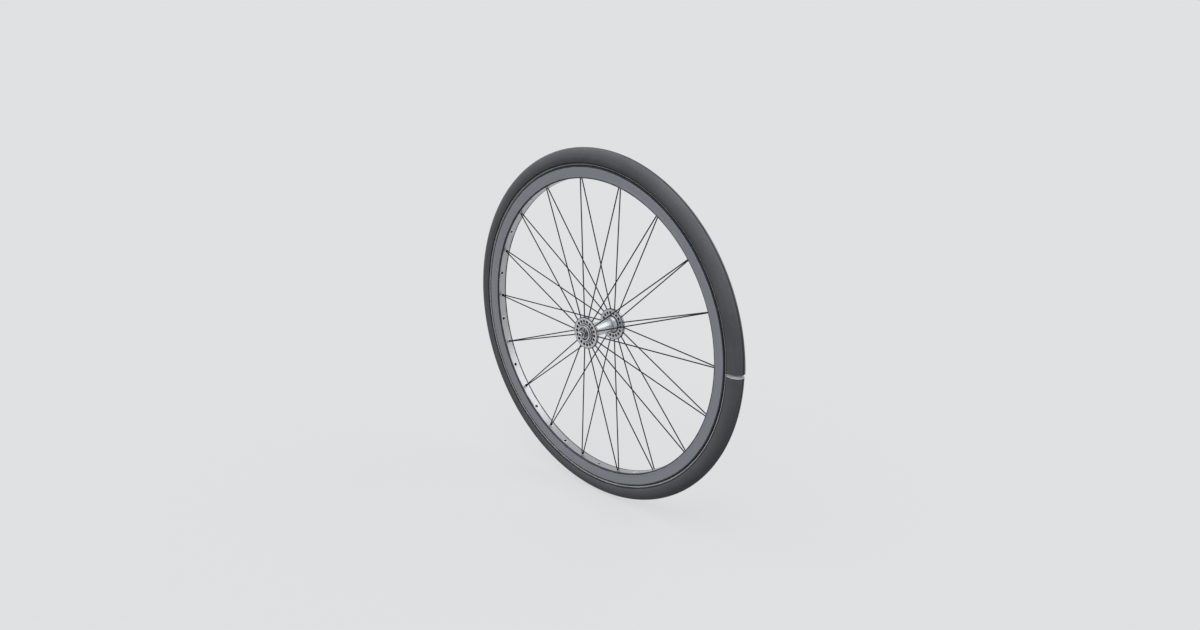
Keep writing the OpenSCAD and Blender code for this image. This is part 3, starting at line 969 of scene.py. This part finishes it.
@step("Stage")
def make_stage():
    """Make the floor, the lamps, the sky and the camera"""
    make_floor()
    make_light()
    make_camera()
    bpy.context.scene.view_settings.view_transform = "Standard"


# Tyre

# Angles up the section from the moulded line above the rim: to the next ring, and to the painted shade
SECOND_RING, DIRT_ABOVE_LINE = 0.22, 0.16


class Oval:
    """The tyre's section: an oval that leaves the rim between its two lips."""

    def __init__(self):
        tyre = settings().tyre
        self.half = TYRE_HALF
        rise = math.sqrt(1 - (tyre.throat / self.half) ** 2)
        self.high = (TYRE_R - RIM_R) / (1 + rise)
        self.middle = TYRE_R - self.high
        self.first = -math.asin(rise)
        self.wall, self.crown = tyre.wall, tyre.crown

    def angle(self, share):
        return self.first + (math.pi - 2 * self.first) * share

    def point(self, a, inward=0.0):
        across, up = math.cos(a) / self.half, math.sin(a) / self.high
        size = math.hypot(across, up)
        return (self.middle + self.high * math.sin(a) - inward * up / size,
                self.half * math.cos(a) - inward * across / size)

    def wall_point(self, up):
        """Point on the outer wall at an angle up from the rim."""
        return self.point(self.first + up)

    def skin(self, a):
        return self.wall + (self.crown - self.wall) * max(0.0, math.sin(a)) ** 2


def mould_step(oval, a):
    """Height of the moulded marks at an angle round the section.
    There is a line on the crown, and two rings low on each wall."""
    tyre = settings().tyre
    line_fade, ring_fade, ring_height = 0.035, 0.05, 1.3 * tyre.mould_line
    from_crown = abs(a - math.pi / 2)
    low = min(a - oval.first, math.pi - a - oval.first)
    height = tyre.mould_line * (1 - smooth(from_crown / line_fade))
    for place in (tyre.rim_line, tyre.rim_line + SECOND_RING):
        height += ring_height * (1 - smooth(abs(low - place) / ring_fade))
    return height


def tyre_section():
    tyre, oval = settings().tyre, Oval()
    outer_steps, inner_steps = 84, 26
    lip = RIM_R - 2 * MM
    foot = [
        (lip + 0.2 * MM, tyre.throat),
        (lip - 1.1 * MM, tyre.bead_half),
        (tyre.bead_seat, tyre.bead_half),
        (tyre.bead_seat, tyre.bead_half - tyre.bead_width),
        (RIM_R, tyre.bead_half - tyre.bead_width)]
    outer = [oval.angle(i / outer_steps) for i in range(outer_steps + 1)]
    inner = [oval.angle(i / inner_steps) for i in range(inner_steps, -1, -1)]
    scale_in = tyre.mould_line
    return (
        [oval.point(a, scale_in - min(scale_in, mould_step(oval, a))) for a in outer]
        + [(r, -y) for r, y in foot]
        + [oval.point(a, oval.skin(a)) for a in inner]
        + [(r, y) for r, y in reversed(foot)])


def spring_out(mesh, across_slit):
    """Pushes the end above the slit sideways.
    The push is most at the crown and at the slit, and nothing at the beads."""
    tyre = settings().tyre
    edge = math.asin(tyre.slit / 2 / TYRE_R)
    for vertex in mesh.vertices:
        x, y, z = vertex.co
        a = math.atan2(z, x)
        if a >= edge * 0.5:
            share = (1 - min(1.0, (a - edge) / tyre.sprung_over)) ** 2
        elif across_slit:
            share = smooth((a + edge) / (1.5 * edge))
        else:
            continue
        out = (math.hypot(x, z) - RIM_R) / (TYRE_R - RIM_R)
        vertex.co.y = y + tyre.sprung * share * smooth(out * 1.15)


@step("Tyre")
def make_tyre():
    """Make the tyre with its slit, its cut ends and its sprung upper end"""
    tyre = settings().tyre
    edge = math.asin(tyre.slit / 2 / TYRE_R)
    piece = swept(
        "slit_tyre", tyre_section(), tyre.segments, "weathered_rubber",
        start=edge, sweep=FULL_TURN - 2 * edge)
    paint_faces(
        piece, "fresh_cut_rubber",
        lambda middle, normal:
            middle.x > 0 and abs(middle.z) < tyre.slit and abs(normal.z) > 0.9)
    spring_out(piece.data, across_slit=False)
    put_on(piece, "wheel", ["tyre"])


@step("Foam core")
def make_core():
    """Make the foam core inside the tyre"""
    tyre, oval, gap = settings().tyre, Oval(), 0.3 * MM
    steps = 40
    neck = tyre.bead_half - tyre.bead_width - 2 * gap
    foot = tyre.bead_seat - 1.25 * MM
    turns = [oval.angle(i / steps) for i in range(steps + 1)]
    loop = [oval.point(a, oval.skin(a) + gap) for a in turns]
    loop += [(RIM_R, -neck), (foot, -neck), (foot, neck), (RIM_R, neck)]
    piece = swept("foam_core_ring", loop, tyre.segments, "closed_cell_foam")
    spring_out(piece.data, across_slit=True)
    put_on(piece, "wheel", ["foam_core"])


# Rim

def rim_half(r):
    rim = settings().rim
    return rim.bed_half + (RIM_HALF - rim.bed_half) * (r - rim.bed) / (RIM_R - rim.bed)


def rim_section():
    """The rim's outline with its hooks, its centre well and two fine grooves on each side."""
    rim = settings().rim
    lip_h, slope, chamfer = 2 * MM, 1 * MM, 0.8 * MM
    well_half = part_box("rim_tape")[1].y + 0.3 * MM
    fillet = 0.35 * MM
    half = [
        (rim.bed, 0, 0),
        (rim.bed, rim.bed_half - chamfer, fillet),
        (rim.bed + chamfer, rim_half(rim.bed + chamfer), fillet)]
    for place in (rim.bed + rim.track_in, RIM_R - rim.track_out):
        width = rim.groove_half
        half += [
            (place - width, rim_half(place - width), 0.1 * MM),
            (place - width * 0.4, rim_half(place) - rim.groove, 0.1 * MM),
            (place + width * 0.4, rim_half(place) - rim.groove, 0.1 * MM),
            (place + width, rim_half(place + width), 0.1 * MM)]
    half += [
        (RIM_R, rim_half(RIM_R) - 0.02 * MM, 0.5 * MM),
        (RIM_R, rim.lip, 0.4 * MM),
        (RIM_R - lip_h, rim.lip, 0.3 * MM),
        (RIM_R - lip_h - slope, rim.channel, 0.3 * MM),
        (rim.seat, rim.channel, 0.4 * MM),
        (rim.seat, well_half, 0.3 * MM),
        (rim.seat - rim.well, well_half, 0.3 * MM),
        (rim.seat - rim.well, 0, 0)]
    return half


def rim_cavity():
    rim = settings().rim
    inside, floor = rim.bed + rim.wall, rim.seat - rim.well - rim.floor
    return both_halves([
        (inside, rim_half(inside) - rim.wall, 0.6 * MM),
        (floor, rim_half(floor) - rim.wall, 0.6 * MM)])


def pair_reach(r):
    """How far the outer side of a pair reaches sideways at a radius."""
    spokes, rim = settings().spokes, settings().rim
    slope = (spokes.head_side + rim.pair_y) / (spokes.end_radius - spokes.head_radius)
    return (spokes.spread + spokes.thick) / 2 + (spokes.end_radius - r) * slope


def eyelet_bore():
    return pair_reach(settings().rim.bed - 0.6 * MM) + 0.1 * MM


@step("Rim")
def make_rim():
    """Make the box-section rim with its spoke holes"""
    rim = settings().rim
    over = 1 * MM
    loop = rounded(both_halves(rim_section()))
    piece = swept("box_rim", loop, RIM_STEPS, "satin_rim_alloy")
    hollow = swept("rim_hollow", rounded(rim_cavity()), RIM_STEPS, "satin_rim_alloy")
    cut_with(piece, hollow)
    hole_r = eyelet_bore() + rim.eyelet_wall + 0.05 * MM
    access_r = pair_reach(rim.bed + 2.5 * MM) + 2.2 * MM
    floor = rim.seat - rim.well - rim.floor
    for name, y, start in (("pair", rim.pair_y, 0.0), ("spare", rim.spare_y, PAIR_STEP / 2)):
        drills = [
            rod(name, r, wall + 2 * over, (place - over, y, 0), (1, 0, 0), HOLE_STEPS)
            for r, wall, place in ((hole_r, rim.wall, rim.bed), (access_r, rim.floor, floor))]
        cut_with(piece, repeated(name, joined(name, drills), len(PAIRS), "satin_rim_alloy", start))
    finished(piece)
    # The inner face takes a lighter copy of the alloy: painted light.
    paint_faces(
        piece, "polished_rim_alloy",
        lambda middle, normal: radius_of(middle) < rim.bed + 0.6 * MM)
    put_on(piece, "wheel", ["rim"])


@step("Rim tape")
def make_tape():
    """Make the woven tape in the rim's well"""
    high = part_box("rim_tape")[1]
    thick, half = 0.8 * MM, high.y
    radius = max(high.x, high.z)
    steps = 12
    top = [(radius, half - 2 * half * i / steps) for i in range(steps + 1)]
    loop = top + [(r - thick, y) for r, y in reversed(top)]
    piece = swept("woven_rim_tape", loop, RIM_STEPS, "woven_tape")
    weave = 1.1 * MM
    uv = piece.data.uv_layers.new(name="UVMap")
    for face in piece.data.polygons:
        middle = math.atan2(face.center.z, face.center.x)
        for corner in face.loop_indices:
            x, y, z = piece.data.vertices[piece.data.loops[corner].vertex_index].co
            a = math.atan2(z, x)
            a += FULL_TURN * round((middle - a) / FULL_TURN)
            uv.data[corner].uv = (a * radius / weave, y / weave)
    put_on(piece, "wheel", ["rim_tape"])


@step("Eyelets")
def make_eyelets():
    """Make the rolled eyelets that line the rim's holes"""
    rim = settings().rim
    bore = eyelet_bore()
    outer = bore + rim.eyelet_wall
    collar = outer + rim.eyelet_collar
    roll = 0.6 * MM
    top = roll + rim.wall + 0.4 * MM
    loop = [
        (top, bore), (roll * 1.3, bore), (roll * 0.55, bore + 0.07 * MM),
        (roll * 0.15, bore + 0.25 * MM), (0, bore + 0.55 * MM),
        (roll * 0.06, collar - 0.4 * MM), (roll * 0.35, collar - 0.1 * MM),
        (roll * 0.75, collar), (roll * 0.84, collar - 0.05 * MM), (roll * 0.84, outer),
        (top, outer)]
    pairs, spares = (
        repeated("eyelets", turned_bar(
            "eyelet", loop, (rim.bed - roll, y, 0), (1, 0, 0), HOLE_STEPS, closed=True),
            len(PAIRS), "rolled_eyelet_steel", start)
        for y, start in ((rim.pair_y, 0.0), (rim.spare_y, PAIR_STEP / 2)))
    piece = merged("rolled_eyelets", pairs, spares, "rolled_eyelet_steel")
    put_on(piece, "wheel", ["rim_eyelets"])


# Spokes

def spoke_line(side):
    """Start at the head's seat, direction and length of the spoke at 0 degrees on a side."""
    spokes, rim = settings().spokes, settings().rim
    start = Vector((spokes.head_radius, side * spokes.head_side, 0))
    end = Vector((spokes.end_radius, rim.pair_y + side * spokes.spread / 2, 0))
    return start, (end - start).normalized(), (end - start).length


@step("Spokes")
def make_spokes():
    """Make the paired spokes of both sides, with their domed heads"""
    spokes = settings().spokes
    r, head, high = spokes.thick / 2, spokes.head / 2, spokes.head_height
    for side, label in SIDES:
        start, direction, long = spoke_line(side)
        profile = [
            (-high, 0), (-high, head * 0.55), (-high * 0.93, head * 0.78),
            (-high * 0.75, head * 0.93), (-high * 0.45, head), (-high * 0.12, head),
            (0, head * 0.94), (0, r * 1.02),
            (long * 0.3, r), (long * 0.7, r), (long - 0.3 * MM, r), (long, r * 0.8), (long, 0)]
        seed = turned_bar("spoke", profile, start, direction, 18)
        piece = repeated(f"spokes_{label}", seed, len(PAIRS), "drawn_spoke_steel")
        put_on(piece, "wheel", [f"spoke_{label}_{n:02d}" for n in PAIRS])


# Hub

def shell_half():
    """The +Y half of the hub shell's outline, with the fillets of its corners."""
    hub = settings().hub
    inner, outer = hub.flange_side - hub.flange_t / 2, hub.flange_side + hub.flange_t / 2
    edge, fine, depth, band = 0.9 * MM, 0.1 * MM, 0.25 * MM, 0.6 * MM

    def groove(start, width, face, deep):
        """A shallow ring groove in a face, from a start radius over a width that may be negative."""
        slope = math.copysign(0.2 * MM, width)
        return [(start, face, fine), (start + slope, face + deep, fine),
                (start + width - slope, face + deep, fine), (start + width, face, fine)]

    return [
        (hub.barrel_r, inner - 6.6 * MM, 3 * MM),
        (hub.flare_r, inner, 1.2 * MM),
        *groove(hub.keyhole_circle - hub.keyhole_r - 1.2 * MM, 0.8 * MM, inner, depth),
        (FLANGE_R, inner, edge),
        (FLANGE_R, hub.flange_side - band, 0.2 * MM),
        (FLANGE_R - depth, hub.flange_side - band / 2, fine),
        (FLANGE_R - depth, hub.flange_side + band / 2, fine),
        (FLANGE_R, hub.flange_side + band, 0.2 * MM),
        (FLANGE_R, outer, edge),
        *groove(FLANGE_R - 2.2 * MM, -1 * MM, outer, -depth),
        (hub.boss_r, outer, 0.5 * MM),
        (hub.boss_r, outer + hub.boss_h, 0.7 * MM),
        (hub.end_r, outer + hub.boss_h, 0.4 * MM),
        (hub.end_r, SHELL_END, 0.4 * MM),
        (hub.cup_r, SHELL_END, 0.2 * MM),
        (hub.cup_r, hub.cup_start, 0.2 * MM),
        (hub.bore_r, hub.cup_start, 0.3 * MM)]


@step("Hub shell")
def make_hub():
    """Make the turned hub shell with its two drilled flanges"""
    hub, spokes = settings().hub, settings().spokes
    loop = rounded(both_halves(shell_half()), 4)
    piece = swept("turned_hub_shell", loop, 192, "turned_hub_alloy")
    over, sink = 1 * MM, 0.35 * MM
    long = hub.flange_t + 2 * over
    r = hub.keyhole_r
    flared = [
        (0, 0), (0, r + sink + over), (over + sink, r), (long - over - sink, r),
        (long, r + sink + over), (long, 0)]
    for side, _ in SIDES:
        start, direction, _ = spoke_line(side)
        keyhole = turned_bar(
            "keyhole", flared, (hub.keyhole_circle, side * (hub.flange_side - long / 2), 0),
            (0, side, 0), 28)
        bore_r = spokes.thick / 2 + 0.05 * MM
        reach_out = FLANGE_R - spokes.head_radius + 4 * MM
        bore = turned_bar(
            "bore", [(-0.5 * MM, 0), (-0.5 * MM, bore_r), (reach_out, bore_r), (reach_out, 0)],
            start, direction)
        for name, seed in (("keyholes", keyhole), ("bores", bore)):
            cut_with(piece, repeated(name, seed, len(PAIRS), "turned_hub_alloy"))
    finished(piece)
    off_flat = 0.2
    # The walls and countersinks of the spoke holes take a near-black finish: painted shade.
    paint_faces(
        piece, "oily_bore_alloy",
        lambda middle, normal:
            abs(radius_of(middle) - hub.keyhole_circle) < r + sink
            and abs(normal.y) < 1 - off_flat
            and abs(abs(middle.y) - hub.flange_side) < hub.flange_t / 2 + sink)
    put_on(piece, "wheel", ["hub_shell"])


def inner_end(node):
    """Sideways place of the end of a CAD node that faces the wheel's middle."""
    low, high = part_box(node)
    return min(abs(low.y), abs(high.y))


def on_side(side, loop):
    """A section of the +Y side, put on either side."""
    return [(r, side * y) for r, y in loop]


def make_caps():
    """The pressed caps that cover the bearings."""
    bore = settings().hub.cap_bore
    sleeve = settings().hub.cup_r - 0.05 * MM
    for side, label in SIDES:
        node = f"dust_cap_{label}"
        outer, end = reach(node)
        inner = inner_end(node)
        loop = rounded([
            (bore, inner, 0.2 * MM), (sleeve, inner, 0.2 * MM), (sleeve, SHELL_END, 0),
            (outer, SHELL_END, 0.1 * MM), (outer, end - 0.2 * MM, 0.3 * MM),
            (outer - 1 * MM, end, 0.4 * MM), (bore + 1.2 * MM, end, 0.4 * MM),
            (bore + 0.8 * MM, end - 0.15 * MM, 0.2 * MM), (bore, end - 0.35 * MM, 0.3 * MM)])
        piece = swept(f"pressed_cap_{label}", on_side(side, loop), 128, "plated_cap_steel")
        put_on(piece, "wheel", [node])


def make_nuts():
    """The hexagonal nuts, with a ring of teeth on their outer faces."""
    flats = settings().hub.nut_half
    corner = flats / math.cos(math.pi / 6)
    hole = AXLE_R + 0.05 * MM
    ridge, fine, teeth_count, over = 0.25 * MM, 0.1 * MM, 30, 1 * MM
    in_r, out_r, wide = hole + 0.55 * MM, flats - 0.35 * MM, 0.32 * MM
    outer = NUT_END - ridge
    for side, label in SIDES:
        name, node = f"hex_locknut_{label}", f"locknut_{label}"
        inner = inner_end(node)
        disc = rounded([
            (hole, inner, 0.3 * MM), (corner, inner, fine), (corner, outer - 0.75 * MM, fine),
            (flats - 0.1 * MM, outer, fine), (hole + 0.4 * MM, outer, fine),
            (hole, outer - 0.4 * MM, fine)], 2)
        piece = swept(name, on_side(side, disc), 96, "plated_nut_steel")
        prism = rod(
            "prism", corner, outer - inner + 2 * over, (0, side * (inner - over), 0), (0, side, 0), 6)
        cut_with(piece, linked("prism", prism), "INTERSECT")
        tooth = bpy.data.meshes.new("tooth")
        tooth.from_pydata([
            (in_r, side * outer, -wide * 0.6), (out_r, side * outer, -wide),
            (out_r, side * outer, wide), (in_r, side * outer, wide * 0.6),
            (in_r, side * NUT_END, 0), (out_r, side * NUT_END, 0)],
            [], [(0, 1, 5, 4), (3, 4, 5, 2), (0, 4, 3), (1, 2, 5), (0, 3, 2, 1)])
        teeth = repeated("teeth", tooth, teeth_count, "plated_nut_steel")
        piece = merged(name, piece, teeth, "plated_nut_steel")
        put_on(piece, "axle", [node])


def make_axle():
    """The hollow axle, with fine thread grooves and plain tips."""
    bore, tip = 2.6 * MM, AXLE_R - 0.2 * MM
    groove, pitch, thread_start = 0.22 * MM, 1 * MM, 40 * MM
    half = [(bore, AXLE_END - 0.35 * MM, 0.05 * MM), (bore + 0.35 * MM, AXLE_END, 0.1 * MM),
            (tip - 0.6 * MM, AXLE_END, 0.15 * MM), (tip, AXLE_END - 0.6 * MM, 0.15 * MM),
            (tip, NUT_END, 0), (AXLE_R, NUT_END, 0)]
    y = NUT_END - 0.4 * pitch
    while y > thread_start:
        half += [(AXLE_R, y, 0), (AXLE_R - groove, y - 0.3 * pitch, 0), (AXLE_R, y - 0.6 * pitch, 0)]
        y -= pitch
    points = rounded(list(reversed(half)), 2)
    mirrored = points + [(r, -y) for r, y in reversed(points)]
    piece = swept("hollow_axle", mirrored, 96, "turned_axle_steel")
    put_on(piece, "axle", ["axle"])


@step("Caps, nuts and axle")
def make_end_fittings():
    """Make the dust caps, the knurled locknuts and the hollow axle"""
    make_caps()
    make_nuts()
    make_axle()


@step("Bearings and anchors")
def make_cad_finishes():
    """Give the pieces that keep their CAD shape their finishes"""
    finishes = {
        "bead_wires": ("drawn_bead_wire", "bead_steel"),
        "spoke_anchors": ("nickel_plated_brass", "anchor_brass"),
        "bearing_cup": ("hardened_race_steel", "race_steel"),
        "ball_set": ("polished_ball_steel", "ball_steel"),
        "ball_cage": ("pressed_cage_steel", "cage_steel"),
        "cone": ("hardened_race_steel", "race_steel"),
        "lock_washer": ("plated_cap_steel", "nut_steel"),
    }
    for name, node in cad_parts.items():
        kind = name.removesuffix("_near").removesuffix("_far")
        if kind not in finishes:
            continue
        finish, slot = finishes[kind]
        node.data.materials.clear()
        node.data.materials.append(finish_named(finish))


# Panel and registering

class WHEEL_PT_panel(Panel):
    """Lists the wheel's settings and the operators that make its pieces"""

    bl_idname = "WHEEL_PT_panel"
    bl_label = "Wheel"
    bl_space_type = "VIEW_3D"
    bl_region_type = "UI"
    bl_category = "Wheel"

    def draw(self, context):
        layout = self.layout
        for group in ("tyre", "rim", "spokes", "hub", "colours", "stage"):
            box = layout.box()
            box.label(text=group.capitalize())
            part = getattr(settings(), group)
            for name in part.__annotations__:
                box.prop(part, name, text=name.replace("_", " ").capitalize())
        for operator in OPERATORS:
            layout.operator(operator.bl_idname)


CLASSES = (
    TyreSettings, RimSettings, SpokeSettings, HubSettings, ColourSettings, StageSettings, WheelSettings,
    *OPERATORS, WHEEL_PT_panel,
)


def register():
    for cls in CLASSES:
        bpy.utils.register_class(cls)
    bpy.types.Scene.wheel_settings = PointerProperty(type=WheelSettings)


def unregister():
    del bpy.types.Scene.wheel_settings
    for cls in reversed(CLASSES):
        bpy.utils.unregister_class(cls)


def main():
    register()
    for operator in OPERATORS:
        family, name = operator.bl_idname.split(".")
        getattr(getattr(bpy.ops, family), name)()


if __name__ == "__main__":
    main()
